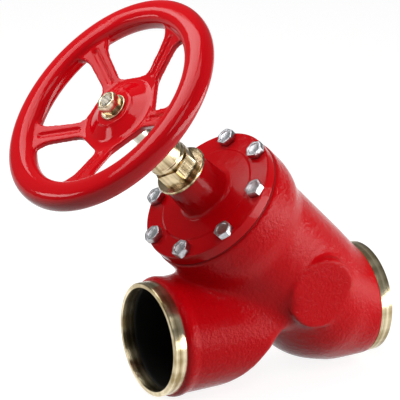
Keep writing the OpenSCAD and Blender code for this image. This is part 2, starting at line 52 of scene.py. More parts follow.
# Housing casting
# One iron casting with the barrel, the two branches, the bonnet flange and two round pads.
# It is shot blasted and painted in glossy red, which keeps the grain of the sand mould.
STEM_FOOT = (0.072, 0, 0)
STEM_TILT = radians(45)
STUB_LENGTH = 0.019
STUB_OVERLAP = 0.0005
OUTLET_FACE = 0.374
FLANGE_TOP = 0.2796
FLANGE_LAND = 0.004
BRANCH_RADIUS = 0.087
BARREL_RADIUS = 0.098
CREASE_REACH = 0.026
FADE_LENGTH = 0.012
PAD_FACE = 0.0905
PAD_REACH = 0.108
PAD_HEIGHT = 0.05
CREASE_SOFTNESS = 1.5
FACE_SOFTNESS = 0.08
WALL_SOFTNESS = 0.03
PAD_SOFTNESS = 0.01
PIPE_INSIDE = 0.0800
BARREL_INSIDE = 0.0920
FLANGE_INSIDE = 0.0805
FLANGE_FOOT = 0.236
SEAT_HEIGHT = 0.094
BALL_HEIGHT = 0.025
BALL_FOOT = -0.07


def stem_height(point):
    """Height on the stem, which leans 45 degrees, and distance from it, in metres."""
    x, y, z = point[0] - STEM_FOOT[0], point[1], point[2]
    height = (x + z) * sqrt(0.5)
    across = (x - z) * sqrt(0.5)
    return height, sqrt(across * across + y * y)


def only(piece):
    """Leaves one piece selected and active."""
    bpy.ops.object.select_all(action="DESELECT")
    piece.select_set(True)
    bpy.context.view_layer.objects.active = piece


def copy_of_node(node, name):
    """A free copy of a CAD node with its loose triangles joined."""
    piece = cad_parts[node].copy()
    piece.data = piece.data.copy()
    piece.name = name
    for key in list(piece.keys()):
        del piece[key]
    piece.parent = None
    bpy.context.scene.collection.objects.link(piece)
    only(piece)
    bpy.ops.object.mode_set(mode="EDIT")
    bpy.ops.mesh.select_all(action="SELECT")
    bpy.ops.mesh.remove_doubles(threshold=0.00001)
    bpy.ops.object.mode_set(mode="OBJECT")
    return piece


def apply_all(piece):
    """Applies the modifiers of a piece, first to last."""
    only(piece)
    for modifier in list(piece.modifiers):
        bpy.ops.object.modifier_apply(modifier=modifier.name)


def cast_over(piece, grain, rounds, softness):
    """Remeshes a sharp solid and rounds its corners as a foundry pattern has them.
    softness gives how much each point may move, from 0 to 1."""
    shell = piece.modifiers.new("shell", "REMESH")
    shell.mode = "VOXEL"
    shell.voxel_size = grain
    apply_all(piece)
    soft = piece.vertex_groups.new(name="soft")
    for vertex in piece.data.vertices:
        soft.add([vertex.index], softness(vertex.co), "REPLACE")
    settle = piece.modifiers.new("settle", "SMOOTH")
    settle.factor = 0.5
    settle.iterations = rounds
    settle.vertex_group = "soft"
    apply_all(piece)
    piece.vertex_groups.clear()
    bpy.ops.object.shade_smooth()


def casting_softness(point):
    """Full rounding where barrel and branches meet, and little on the other walls, the pads,
    the machined flange face and the weld ends."""
    height, reach = stem_height(point)
    from_pipe = sqrt(point[1] ** 2 + point[2] ** 2)
    near_face = max(FACE_SOFTNESS, (FLANGE_TOP - FLANGE_LAND - height) / FADE_LENGTH)
    to_end = min(point[0] - STUB_LENGTH, OUTLET_FACE - STUB_LENGTH - point[0])
    near_end = max(WALL_SOFTNESS, to_end / FADE_LENGTH)
    off_crease = sqrt((from_pipe - BRANCH_RADIUS) ** 2 + (reach - BARREL_RADIUS) ** 2)
    in_crease = max(WALL_SOFTNESS, CREASE_SOFTNESS - off_crease / CREASE_REACH)
    on_pad = abs(point[1]) > PAD_FACE and from_pipe < PAD_REACH and height > PAD_HEIGHT
    return min(1, near_face, near_end, in_crease, PAD_SOFTNESS if on_pad else 1)


def new_group(name, inputs, outputs):
    """A shader node group with its sockets, and its two end nodes."""
    group = bpy.data.node_groups.new(name, "ShaderNodeTree")
    for label, value in inputs:
        socket = group.interface.new_socket(label, in_out="INPUT", socket_type="NodeSocketFloat")
        socket.default_value = value
    for label, kind in outputs:
        group.interface.new_socket(label, in_out="OUTPUT", socket_type=kind)
    return group, group.nodes.new("NodeGroupInput"), group.nodes.new("NodeGroupOutput")


def node_in(tree, kind, **values):
    """A new shader node with its settings and the plain values of its sockets."""
    made = tree.nodes.new(kind)
    for key, value in values.items():
        if hasattr(made, key):
            setattr(made, key, value)
        else:
            made.inputs[key.replace("_", " ")].default_value = value
    return made


def cast_skin_group():
    """Orange peel of the paint, the sand grain under it and the slow waves of the pattern."""
    group, inside, outside = new_group(
        "cast_skin", [("Grain", 330.0), ("Peel", 150.0), ("Peel depth", 0.4)],
        [("Height", "NodeSocketFloat"), ("Shade", "NodeSocketFloat")])
    place = group.nodes.new("ShaderNodeTexCoord")
    grain = node_in(group, "ShaderNodeTexNoise", Detail=3.0, Roughness=0.6)
    peel = node_in(group, "ShaderNodeTexNoise", Detail=2.0, Roughness=0.5)
    wave = node_in(group, "ShaderNodeTexNoise", Scale=14.0, Detail=2.0)
    depth = node_in(group, "ShaderNodeMath", operation="MULTIPLY")
    total = node_in(group, "ShaderNodeMath", operation="ADD")
    link = group.links.new
    for texture in (grain, peel, wave):
        link(place.outputs["Object"], texture.inputs["Vector"])
    link(inside.outputs["Grain"], grain.inputs["Scale"])
    link(inside.outputs["Peel"], peel.inputs["Scale"])
    link(peel.outputs["Fac"], depth.inputs[0])
    link(inside.outputs["Peel depth"], depth.inputs[1])
    link(depth.outputs[0], total.inputs[0])
    link(grain.outputs["Fac"], total.inputs[1])
    link(total.outputs[0], outside.inputs["Height"])
    link(wave.outputs["Fac"], outside.inputs["Shade"])
    return group


cast_skin = cast_skin_group()


def red_enamel(name, bright, deep, grain, depth, bump, roughness, gloss=0.11):
    """Glossy red paint over cast iron. depth is the share of the wider ripple."""
    material = bpy.data.materials.new(name)
    material.use_nodes = True
    tree = material.node_tree
    paint = tree.nodes["Principled BSDF"]
    skin = tree.nodes.new("ShaderNodeGroup")
    skin.node_tree = cast_skin
    skin.inputs["Grain"].default_value = grain
    skin.inputs["Peel depth"].default_value = depth
    shade = node_in(tree, "ShaderNodeMix", data_type="RGBA")
    shade.inputs["A"].default_value = (*deep, 1)
    shade.inputs["B"].default_value = (*bright, 1)
    relief = node_in(tree, "ShaderNodeBump", Strength=1.0, Distance=bump)
    link = tree.links.new
    link(skin.outputs["Shade"], shade.inputs["Factor"])
    link(shade.outputs["Result"], paint.inputs["Base Color"])
    link(skin.outputs["Height"], relief.inputs["Height"])
    link(relief.outputs["Normal"], paint.inputs["Normal"])
    paint.inputs["Roughness"].default_value = roughness
    paint.inputs["Specular IOR Level"].default_value = gloss
    return material


casting_red = red_enamel("casting_red", bright=(0.62, 0.002, 0.006), deep=(0.54, 0.001, 0.004),
                         grain=230.0, depth=0.6, bump=0.00110, roughness=0.07, gloss=0.075)


def speckled(name, dark, light, scale, roughness, shine, bump, metallic=0.0):
    """A finish whose colour wanders between two tones, with the same grain in its relief."""
    material = bpy.data.materials.new(name)
    material.use_nodes = True
    tree = material.node_tree
    base = tree.nodes["Principled BSDF"]
    place = tree.nodes.new("ShaderNodeTexCoord")
    cloud = node_in(tree, "ShaderNodeTexNoise", Scale=scale, Detail=3.0, Roughness=0.65)
    tint = node_in(tree, "ShaderNodeMix", data_type="RGBA")
    tint.inputs["A"].default_value = (*dark, 1)
    tint.inputs["B"].default_value = (*light, 1)
    relief = node_in(tree, "ShaderNodeBump", Strength=1.0, Distance=bump)
    link = tree.links.new
    link(place.outputs["Object"], cloud.inputs["Vector"])
    link(cloud.outputs["Fac"], tint.inputs["Factor"])
    link(tint.outputs["Result"], base.inputs["Base Color"])
    link(cloud.outputs["Fac"], relief.inputs["Height"])
    link(relief.outputs["Normal"], base.inputs["Normal"])
    base.inputs["Roughness"].default_value = roughness
    base.inputs["Specular IOR Level"].default_value = shine
    base.inputs["Metallic"].default_value = metallic
    return material


# Inside of the casting: dark bare iron, made near black so that the shade deep in the bores is painted into
# its colour.
bore_iron_painted_shade = speckled("bore_iron_painted_shade", dark=(0.004, 0.004, 0.004), light=(0.010, 0.010, 0.009),
                      scale=60.0, roughness=0.55, shine=0.12, bump=0.0002)

casting = copy_of_node("housing", "housing_casting")
bpy.ops.object.mode_set(mode="EDIT")
for cut_x, side in ((STUB_LENGTH - STUB_OVERLAP, -1), (OUTLET_FACE - STUB_LENGTH + STUB_OVERLAP, 1)):
    bpy.ops.mesh.select_all(action="SELECT")
    bpy.ops.mesh.bisect(plane_co=(cut_x, 0, 0), plane_no=(side, 0, 0), use_fill=True, clear_outer=True)
bpy.ops.object.mode_set(mode="OBJECT")
cast_over(casting, grain=0.0029, rounds=260, softness=casting_softness)
casting.data.materials.clear()
casting.data.materials.append(casting_red)
casting.data.materials.append(bore_iron_painted_shade)
# Faces inside the bores, the barrel and the flange take that near-black finish, which is the painted shade
# of the inside.
for face in casting.data.polygons:
    height, reach = stem_height(face.center)
    from_pipe = sqrt(face.center[1] ** 2 + face.center[2] ** 2)
    from_ball = sqrt(reach ** 2 + min(0, height - BALL_HEIGHT) ** 2)
    in_inlet = from_pipe < PIPE_INSIDE and face.center[0] < STEM_FOOT[0]
    in_outlet = from_pipe < PIPE_INSIDE and height > SEAT_HEIGHT
    in_barrel = from_ball < BARREL_INSIDE and BALL_FOOT < height < FLANGE_FOOT
    in_flange = reach < FLANGE_INSIDE and height >= FLANGE_FOOT
    if in_inlet or in_outlet or in_barrel or in_flange:
        face.material_index = 1
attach(casting, "valve_body")
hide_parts("housing")

# Weld ends
# The last 19 mm of each branch is left bare and turned in a lathe, with a bevel for the weld
# and a short machined bore. It is kept from rusting by a thin yellowish passivation.
PIPE_RADIUS = 0.08415
BORE_RADIUS = 0.07705
END_ROOT = -0.0010
WELD_BEVEL_FOOT = 0.0176
WELD_BEVEL_DEPTH = 0.0022


def turn_on_lathe(name, outline, steps=128):
    """Spins a closed outline of (radius, height) points round Z."""
    bpy.ops.object.select_all(action="DESELECT")
    bpy.ops.mesh.primitive_plane_add(size=0.001)
    piece = bpy.context.object
    piece.name = name
    bpy.ops.object.mode_set(mode="EDIT")
    bpy.ops.mesh.select_all(action="SELECT")
    bpy.ops.mesh.merge(type="CENTER")
    bpy.ops.transform.translate(value=(outline[0][0], 0, outline[0][1]))
    for here, there in zip(outline, outline[1:] + outline[:1]):
        bpy.ops.mesh.extrude_region_move(
            TRANSFORM_OT_translate={"value": (there[0] - here[0], 0, there[1] - here[1])})
    bpy.ops.mesh.select_all(action="SELECT")
    bpy.ops.mesh.spin(steps=steps, angle=2 * pi, center=(0, 0, 0), axis=(0, 0, 1))
    bpy.ops.mesh.select_all(action="SELECT")
    bpy.ops.mesh.remove_doubles(threshold=0.000005)
    bpy.ops.mesh.normals_make_consistent(inside=False)
    bpy.ops.object.mode_set(mode="OBJECT")
    return piece


def finish_turned(piece, place, tilt, bevel):
    """Breaks the edges, then puts the piece in its place for good."""
    only(piece)
    if bevel:
        edge = piece.modifiers.new("edge", "BEVEL")
        edge.width = bevel
        edge.segments = 2
        edge.limit_method = "ANGLE"
        edge.angle_limit = radians(25)
        apply_all(piece)
    piece.rotation_euler = (0, tilt, 0)
    piece.location = place
    bpy.ops.object.transform_apply(location=True, rotation=True, scale=True)
    bpy.ops.object.shade_smooth_by_angle(angle=radians(35))


def lathe_lines_and_sheen_group():
    """Fine rings left by the tool round the X axis, once turned by Tilt, and a tone that drifts
    along that axis with the rings and, round the axis, streaks that are painted reflection."""
    group, inside, outside = new_group(
        "lathe_lines_and_sheen", [("Lines", 900.0), ("Tilt", 0.0)],
        [("Height", "NodeSocketFloat"), ("Tone", "NodeSocketFloat")])
    place = group.nodes.new("ShaderNodeTexCoord")
    turn = node_in(group, "ShaderNodeVectorRotate", rotation_type="Y_AXIS")
    squeeze = node_in(group, "ShaderNodeVectorMath", operation="MULTIPLY")
    squeeze.inputs[1].default_value = (1.0, 0.02, 0.02)
    stretch = node_in(group, "ShaderNodeVectorMath", operation="MULTIPLY")
    stretch.inputs[1].default_value = (0.05, 1.0, 1.0)
    rings = node_in(group, "ShaderNodeTexNoise", Detail=3.0, Roughness=0.7)
    drift = node_in(group, "ShaderNodeTexNoise", Scale=160.0, Detail=2.0)
    # Painted reflection: streaks round the axis that stand for lamps drawn out along the turned rings.
    painted_reflection_streak = node_in(group, "ShaderNodeTexNoise", Scale=20.0, Detail=3.0, Roughness=0.7)
    both = node_in(group, "ShaderNodeMath", operation="ADD")
    sharper = node_in(group, "ShaderNodeMapRange", From_Min=0.84, From_Max=1.16)
    link = group.links.new
    link(place.outputs["Object"], turn.inputs["Vector"])
    link(inside.outputs["Tilt"], turn.inputs["Angle"])
    link(turn.outputs["Vector"], squeeze.inputs[0])
    link(squeeze.outputs["Vector"], rings.inputs["Vector"])
    link(squeeze.outputs["Vector"], drift.inputs["Vector"])
    link(turn.outputs["Vector"], stretch.inputs[0])
    link(stretch.outputs["Vector"], painted_reflection_streak.inputs["Vector"])
    link(drift.outputs["Fac"], both.inputs[0])
    link(painted_reflection_streak.outputs["Fac"], both.inputs[1])
    link(both.outputs[0], sharper.inputs["Value"])
    link(inside.outputs["Lines"], rings.inputs["Scale"])
    link(rings.outputs["Fac"], outside.inputs["Height"])
    link(sharper.outputs["Result"], outside.inputs["Tone"])
    return group


lathe_lines_and_sheen = lathe_lines_and_sheen_group()


def turned_metal(name, light, dark, roughness, lines, tilt, bump, stretch=0.0):
    """Turned and plated steel. light and dark are the colours between which its rings and its
    painted reflection streaks round the axis vary. stretch draws its highlights out along the
    turning axis, where that is the pipe axis."""
    material = bpy.data.materials.new(name)
    material.use_nodes = True
    tree = material.node_tree
    metal = tree.nodes["Principled BSDF"]
    rings = tree.nodes.new("ShaderNodeGroup")
    rings.node_tree = lathe_lines_and_sheen
    rings.inputs["Lines"].default_value = lines
    rings.inputs["Tilt"].default_value = tilt
    tone = node_in(tree, "ShaderNodeMix", data_type="RGBA")
    tone.inputs["A"].default_value = (*dark, 1)
    tone.inputs["B"].default_value = (*light, 1)
    relief = node_in(tree, "ShaderNodeBump", Strength=1.0, Distance=bump)
    link = tree.links.new
    link(rings.outputs["Tone"], tone.inputs["Factor"])
    link(tone.outputs["Result"], metal.inputs["Base Color"])
    link(rings.outputs["Height"], relief.inputs["Height"])
    link(relief.outputs["Normal"], metal.inputs["Normal"])
    metal.inputs["Metallic"].default_value = 1.0
    metal.inputs["Roughness"].default_value = roughness
    if stretch:
        around = node_in(tree, "ShaderNodeTangent", direction_type="RADIAL", axis="X")
        link(around.outputs["Tangent"], metal.inputs["Tangent"])
        metal.inputs["Anisotropic"].default_value = stretch
        metal.inputs["Anisotropic Rotation"].default_value = 0.25
    return material


# The light and dark streaks round each weld end are painted reflection over the steel's own ring tone.
stub_steel = turned_metal("stub_steel", light=(0.80, 0.70, 0.48), dark=(0.32, 0.24, 0.11),
                          roughness=0.24, lines=700.0, tilt=0.0, bump=0.00003, stretch=0.90)
end_outline = [
    (PIPE_RADIUS, END_ROOT), (PIPE_RADIUS, WELD_BEVEL_FOOT),
    (PIPE_RADIUS - WELD_BEVEL_DEPTH, STUB_LENGTH), (BORE_RADIUS, STUB_LENGTH), (BORE_RADIUS, END_ROOT)]
for end_name, end_place, end_turn in (("outlet_weld_end", OUTLET_FACE - STUB_LENGTH, 90),
                                      ("inlet_weld_end", STUB_LENGTH, -90)):
    weld_end = turn_on_lathe(end_name, end_outline)
    finish_turned(weld_end, (end_place, 0, 0), tilt=radians(end_turn), bevel=0.00020)
    weld_end.data.materials.append(stub_steel)
    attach(weld_end, "valve_body")
    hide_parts("housing")

# Bonnet gasket
# A flat ring of graphite sheet with a steel core, clamped between the two flanges. The valve
# was painted once it was put together, so the edge of the ring took some of the red.
gasket_red = speckled("gasket_red", dark=(0.200, 0.004, 0.004), light=(0.420, 0.006, 0.006),
                      scale=1500.0, roughness=0.8, shine=0.2, bump=0.0001)


def refinish(material, *nodes):
    """Puts a finish on CAD nodes whose shape stays."""
    for node in nodes:
        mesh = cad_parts[node].data
        mesh.materials.clear()
        mesh.materials.append(material)


refinish(gasket_red, "bonnet_gasket")

# Bonnet
# An iron casting whose plate closes the housing. Its neck carries the gland, and a boss
# inside holds the spindle nut thread. It is painted with the housing.
BOSS_FOOT = 0.2252
BOSS_RADIUS = 0.0340
BOSS_CHAMFER = 0.002
BOSS_FILLET = 0.004
SPIGOT_FOOT = 0.2652
SPIGOT_RADIUS = 0.07885
SPIGOT_CHAMFER = 0.001
BONNET_FOOT = 0.2812
BONNET_TOP = 0.2984
PLATE_RADIUS = 0.108
PLATE_BREAK = 0.0006
PLATE_EDGE = 0.0025
STEP_FOOT_RADIUS = 0.0792
STEP_TOP_RADIUS = 0.0757
STEP_ROUND = 0.0012
FACE_RISE = 0.0015
NECK_FOOT_RADIUS = 0.0470
NECK_FILLET = 0.007
NECK_TOP = 0.356
NECK_TOP_RADIUS = 0.0349
NECK_ROUND = 0.001
GLAND_THREAD_RADIUS = 0.0260
PACKING_RADIUS = 0.0240
PACKING_TOP = 0.335
PACKING_FOOT = 0.314
SPINDLE_HOLE_RADIUS = 0.01405
SPINDLE_THREAD_RADIUS = 0.01605
SPINDLE_THREAD_TOP = 0.3024
BACK_SEAT_RADIUS = 0.02255
BACK_SEAT_DEPTH = 0.003
BOLT_CIRCLE = 0.096
BOLT_TURN = radians(27)
BOLT_COUNT = 8
BOLT_HOLE_RADIUS = 0.00875
DRILL_OVERRUN = 0.002
bonnet_red = red_enamel("bonnet_red", bright=(0.62, 0.002, 0.006), deep=(0.54, 0.001, 0.004),
                        grain=190.0, depth=0.5, bump=0.00035, roughness=0.08)


def arc(middle, radius, start, end, steps=8):
    """Points of a rounded corner of an outline, with its angles in degrees."""
    turns = [radians(start + (end - start) * step / steps) for step in range(steps + 1)]
    return [(middle[0] + radius * cos(turn), middle[1] + radius * sin(turn)) for turn in turns]


def join_solid(piece, other, kind):
    """A Boolean of two solids. The second one is used up."""
    only(piece)
    cut = piece.modifiers.new("cut", "BOOLEAN")
    cut.operation = kind
    cut.solver = "EXACT"
    cut.object = other
    apply_all(piece)
    only(other)
    bpy.ops.object.delete()


def around_stem(piece, turn):
    """Turns the mesh of a piece round the stem, which stands on the origin here."""
    only(piece)
    piece.rotation_euler = (0, 0, turn)
    bpy.ops.object.transform_apply(location=False, rotation=True, scale=False)


boss_outline = [
    (BACK_SEAT_RADIUS, BOSS_FOOT), (BOSS_RADIUS - BOSS_CHAMFER, BOSS_FOOT),
    (BOSS_RADIUS, BOSS_FOOT + BOSS_CHAMFER), (BOSS_RADIUS, SPIGOT_FOOT - BOSS_FILLET),
    (BOSS_RADIUS + BOSS_FILLET, SPIGOT_FOOT), (SPIGOT_RADIUS - SPIGOT_CHAMFER, SPIGOT_FOOT),
    (SPIGOT_RADIUS, SPIGOT_FOOT + SPIGOT_CHAMFER), (SPIGOT_RADIUS, BONNET_FOOT)]
plate_outline = [
    (PLATE_RADIUS - PLATE_BREAK, BONNET_FOOT), (PLATE_RADIUS, BONNET_FOOT + PLATE_BREAK)]
plate_outline += arc((PLATE_RADIUS - PLATE_EDGE, BONNET_TOP - PLATE_EDGE), PLATE_EDGE, 0, 90)
plate_outline += arc((STEP_FOOT_RADIUS, BONNET_TOP + STEP_ROUND), STEP_ROUND, 270, 215, 4)
plate_outline += arc((STEP_TOP_RADIUS, BONNET_TOP + FACE_RISE - STEP_ROUND), STEP_ROUND, 35, 90, 4)
neck_outline = arc((NECK_FOOT_RADIUS, BONNET_TOP + FACE_RISE + NECK_FILLET), NECK_FILLET, 270, 184, 12)
neck_outline += arc((NECK_TOP_RADIUS, NECK_TOP - NECK_ROUND), NECK_ROUND, 4, 90, 4)
inside_outline = [
    (GLAND_THREAD_RADIUS, NECK_TOP), (GLAND_THREAD_RADIUS, PACKING_TOP),
    (PACKING_RADIUS, PACKING_TOP), (PACKING_RADIUS, PACKING_FOOT),
    (SPINDLE_HOLE_RADIUS, PACKING_FOOT), (SPINDLE_HOLE_RADIUS, SPINDLE_THREAD_TOP),
    (SPINDLE_THREAD_RADIUS, SPINDLE_THREAD_TOP), (SPINDLE_THREAD_RADIUS, BOSS_FOOT + BACK_SEAT_DEPTH),
    (BACK_SEAT_RADIUS, BOSS_FOOT + BACK_SEAT_DEPTH)]
bonnet = turn_on_lathe(
    "bonnet_casting", boss_outline + plate_outline + neck_outline + inside_outline, steps=192)
drill_outline = [
    (0, BONNET_FOOT - DRILL_OVERRUN), (BOLT_HOLE_RADIUS, BONNET_FOOT - DRILL_OVERRUN),
    (BOLT_HOLE_RADIUS, BONNET_TOP + DRILL_OVERRUN), (0, BONNET_TOP + DRILL_OVERRUN)]
for number in range(BOLT_COUNT):
    drill = turn_on_lathe("drill", drill_outline, steps=32)
    drill.location = (BOLT_CIRCLE, 0, 0)
    bpy.ops.object.transform_apply(location=True, rotation=False, scale=False)
    around_stem(drill, BOLT_TURN + number * 2 * pi / BOLT_COUNT)
    join_solid(bonnet, drill, "DIFFERENCE")
finish_turned(bonnet, STEM_FOOT, STEM_TILT, bevel=0)
bonnet.data.materials.clear()
bonnet.data.materials.append(bonnet_red)
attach(bonnet, "valve_body")
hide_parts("bonnet")

# Bonnet bolts
# Eight M16 hexagon bolts of zinc-plated steel. Their heads are forged, with turned corners
# and a shallow dish in the top. The small screw under the valve cone has the same finish.
BOLT_SEAT = 0.2984
BOLT_FLATS = 0.024
BOLT_HEAD = 0.010
BOLT_LENGTH = 0.045
SHANK_RADIUS = 0.008
SHANK_CHAMFER = 0.0012
SHANK_ROOT = 0.002
SEAT_RING_RADIUS = 0.0112
SEAT_RING_TOP_RADIUS = 0.0119
SEAT_RING_RISE = 0.0006
HEAD_BLANK_RADIUS = 0.0150
HEAD_CHAMFER_FOOT = 0.0087
HEAD_CHAMFER_RADIUS = 0.0125
DISH_RADIUS = 0.0090
DISH_FLOOR_RADIUS = 0.0080
DISH_FLOOR = 0.0090
DISH_MIDDLE = 0.0088
BAR_OVERRUN = 0.001
bolt_zinc = speckled("bolt_zinc", dark=(0.10, 0.11, 0.12), light=(0.84, 0.85, 0.88),
                     scale=300.0, roughness=0.30, shine=0.5, bump=0.0003, metallic=1.0)
refinish(bolt_zinc, "retainer_screw")


def spanner_hexagon(name, flats, low, high, turn, blank):
    """A hexagon bar cut back by a turned blank, which rounds its corners off at the ends."""
    bpy.ops.object.select_all(action="DESELECT")
    bpy.ops.mesh.primitive_cylinder_add(vertices=6, radius=flats / 2 / cos(pi / 6), depth=high - low,
                                        location=(0, 0, (low + high) / 2), rotation=(0, 0, turn + pi / 6))
    piece = bpy.context.object
    piece.name = name
    bpy.ops.object.transform_apply(location=True, rotation=True, scale=True)
    join_solid(piece, blank, "INTERSECT")
    return piece


head_blank = turn_on_lathe("head_blank", [
    (0, BOLT_SEAT), (SEAT_RING_RADIUS, BOLT_SEAT), (SEAT_RING_TOP_RADIUS, BOLT_SEAT + SEAT_RING_RISE),
    (HEAD_BLANK_RADIUS, BOLT_SEAT + SEAT_RING_RISE), (HEAD_BLANK_RADIUS, BOLT_SEAT + HEAD_CHAMFER_FOOT),
    (HEAD_CHAMFER_RADIUS, BOLT_SEAT + BOLT_HEAD), (DISH_RADIUS, BOLT_SEAT + BOLT_HEAD),
    (DISH_FLOOR_RADIUS, BOLT_SEAT + DISH_FLOOR), (0, BOLT_SEAT + DISH_MIDDLE)])
first_bolt = spanner_hexagon("bonnet_bolt_8", BOLT_FLATS, low=BOLT_SEAT - BAR_OVERRUN,
                             high=BOLT_SEAT + BOLT_HEAD + BAR_OVERRUN, turn=radians(15), blank=head_blank)
shank = turn_on_lathe("shank", [
    (0, BOLT_SEAT - BOLT_LENGTH), (SHANK_RADIUS - SHANK_CHAMFER, BOLT_SEAT - BOLT_LENGTH),
    (SHANK_RADIUS, BOLT_SEAT - BOLT_LENGTH + SHANK_CHAMFER),
    (SHANK_RADIUS, BOLT_SEAT + SHANK_ROOT), (0, BOLT_SEAT + SHANK_ROOT)], steps=48)
join_solid(first_bolt, shank, "UNION")
finish_turned(first_bolt, (BOLT_CIRCLE, 0, 0), tilt=0, bevel=0.00025)
first_bolt.data.materials.clear()
first_bolt.data.materials.append(bolt_zinc)
for number in range(1, BOLT_COUNT + 1):
    bolt = first_bolt
    if number < BOLT_COUNT:
        bolt = first_bolt.copy()
        bolt.data = first_bolt.data.copy()
        bpy.context.scene.collection.objects.link(bolt)
    bolt.name = "bonnet_bolt_" + str(number)
    around_stem(bolt, BOLT_TURN + number * 2 * pi / BOLT_COUNT)
    finish_turned(bolt, STEM_FOOT, STEM_TILT, bevel=0)
    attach(bolt, "valve_body")
    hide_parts("bonnet_bolts")

# Gland
# The packing gland is turned from steel bar and yellow passivated: a disc that seats on the
# neck, a hexagon for the spanner, a groove and a long barrel round the spindle.
GLAND_FOOT = 0.335
GLAND_BORE_RADIUS = 0.01405
GLAND_LEAD_RADIUS = 0.0250
GLAND_LEAD = 0.001
GLAND_THREAD_OUTSIDE = 0.0259
DISC_LOW = 0.357
DISC_TOP = 0.362
DISC_RADIUS = 0.0400
DISC_FOOT_RADIUS = 0.0396
DISC_SHOULDER = 0.0014
DISC_SHOULDER_RADIUS = 0.0394
DISC_TOP_RADIUS = 0.0380
DISC_BREAK = 0.0004
HEX_FLATS = 0.055
HEX_SINK = 0.0002
HEX_TOP = 0.386
HEX_CHAMFER = 0.0014
HEX_CHAMFER_RADIUS = 0.0300
HEX_BLANK_RADIUS = 0.0330
HEX_ROOT_RADIUS = 0.0150
GROOVE_RADIUS = 0.024
COLLAR_LOW = 0.3900
COLLAR_LOW_RADIUS = 0.0278
COLLAR_ROUND_LOW = 0.3912
COLLAR_ROUND_HIGH = 0.3950
COLLAR_HIGH = 0.3960
NECK_RADIUS = 0.0280
BARREL_LOW = 0.3980
BARREL_ROUND_LOW = 0.3990
GLAND_BARREL_RADIUS = 0.0290
GLAND_END = 0.429
GLAND_END_RADIUS = 0.0277
GLAND_END_CHAMFER = 0.0013
SCRAPER_RADIUS = 0.01905
SCRAPER_DEPTH = 0.006
# The gland's light and dark streaks round the stem are painted reflection over its own ring tone.
gland_gold = turned_metal("gland_gold", light=(0.70, 0.57, 0.36), dark=(0.22, 0.15, 0.06),
                          roughness=0.22, lines=450.0, tilt=-STEM_TILT, bump=0.00010)
gland = turn_on_lathe("packing_gland_turned", [
    (GLAND_BORE_RADIUS, GLAND_FOOT), (GLAND_LEAD_RADIUS, GLAND_FOOT),
    (GLAND_THREAD_OUTSIDE, GLAND_FOOT + GLAND_LEAD), (GLAND_THREAD_OUTSIDE, DISC_LOW),
    (DISC_FOOT_RADIUS, DISC_LOW), (DISC_RADIUS, DISC_LOW + DISC_BREAK),
    (DISC_RADIUS, DISC_TOP - DISC_SHOULDER), (DISC_SHOULDER_RADIUS, DISC_TOP - DISC_BREAK),
    (DISC_TOP_RADIUS, DISC_TOP), (GROOVE_RADIUS, DISC_TOP), (GROOVE_RADIUS, COLLAR_LOW),
    (COLLAR_LOW_RADIUS, COLLAR_LOW), (GLAND_BARREL_RADIUS, COLLAR_ROUND_LOW),
    (GLAND_BARREL_RADIUS, COLLAR_ROUND_HIGH), (NECK_RADIUS, COLLAR_HIGH), (NECK_RADIUS, BARREL_LOW),
    (GLAND_BARREL_RADIUS, BARREL_ROUND_LOW), (GLAND_BARREL_RADIUS, GLAND_END - GLAND_END_CHAMFER),
    (GLAND_END_RADIUS, GLAND_END), (SCRAPER_RADIUS, GLAND_END),
    (SCRAPER_RADIUS, GLAND_END - SCRAPER_DEPTH), (GLAND_BORE_RADIUS, GLAND_END - SCRAPER_DEPTH)], steps=160)
hexagon_blank = turn_on_lathe("hexagon_blank", [
    (HEX_ROOT_RADIUS, DISC_TOP - HEX_SINK), (HEX_CHAMFER_RADIUS, DISC_TOP - HEX_SINK),
    (HEX_BLANK_RADIUS, DISC_TOP + HEX_CHAMFER), (HEX_BLANK_RADIUS, HEX_TOP - HEX_CHAMFER),
    (HEX_CHAMFER_RADIUS, HEX_TOP), (HEX_ROOT_RADIUS, HEX_TOP)])
gland_hexagon = spanner_hexagon("gland_hexagon", HEX_FLATS, low=DISC_TOP - BAR_OVERRUN,
                                high=HEX_TOP + BAR_OVERRUN, turn=radians(12), blank=hexagon_blank)
join_solid(gland, gland_hexagon, "UNION")
finish_turned(gland, STEM_FOOT, STEM_TILT, bevel=0.0003)
gland.data.materials.clear()
gland.data.materials.append(gland_gold)
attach(gland, "valve_body")
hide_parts("packing_gland")

# Seals and packing
# Chevron rings and seal rings of PTFE and rubber rings, pressed into the bonnet, the gland
# and the valve cone.
white_plastic = speckled("white_plastic", dark=(0.74, 0.74, 0.70), light=(0.84, 0.84, 0.82),
                         scale=90.0, roughness=0.45, shine=0.4, bump=0.0001)
refinish(white_plastic, "packing_rings", "gland_scraper", "back_seat_ring", "cone_seal_ring")
ring_rubber = speckled("ring_rubber", dark=(0.008, 0.008, 0.008), light=(0.018, 0.018, 0.018),
                       scale=700.0, roughness=0.5, shine=0.3, bump=0.0001)
refinish(ring_rubber, "gland_outer_o_ring", "spindle_lower_o_ring", "spindle_upper_o_ring")

# Spindle, valve cone and small steel rings
# The spindle is bright turned stainless steel. The cone, its rings, the gland's gasket and the
# washer and spring of the packing are steel too, and sit inside the valve.
# Their light and dark streaks round the axis are painted reflection over the steel's own ring tone.
spindle_steel = turned_metal("spindle_steel", light=(0.66, 0.60, 0.50), dark=(0.30, 0.27, 0.22),
                             roughness=0.25, lines=700.0, tilt=-STEM_TILT, bump=0.00005)
refinish(spindle_steel, "spindle", "valve_cone", "seal_retainer", "cone_lock_ring", "thrust_washer",
         "packing_washer", "packing_spring", "gland_gasket")

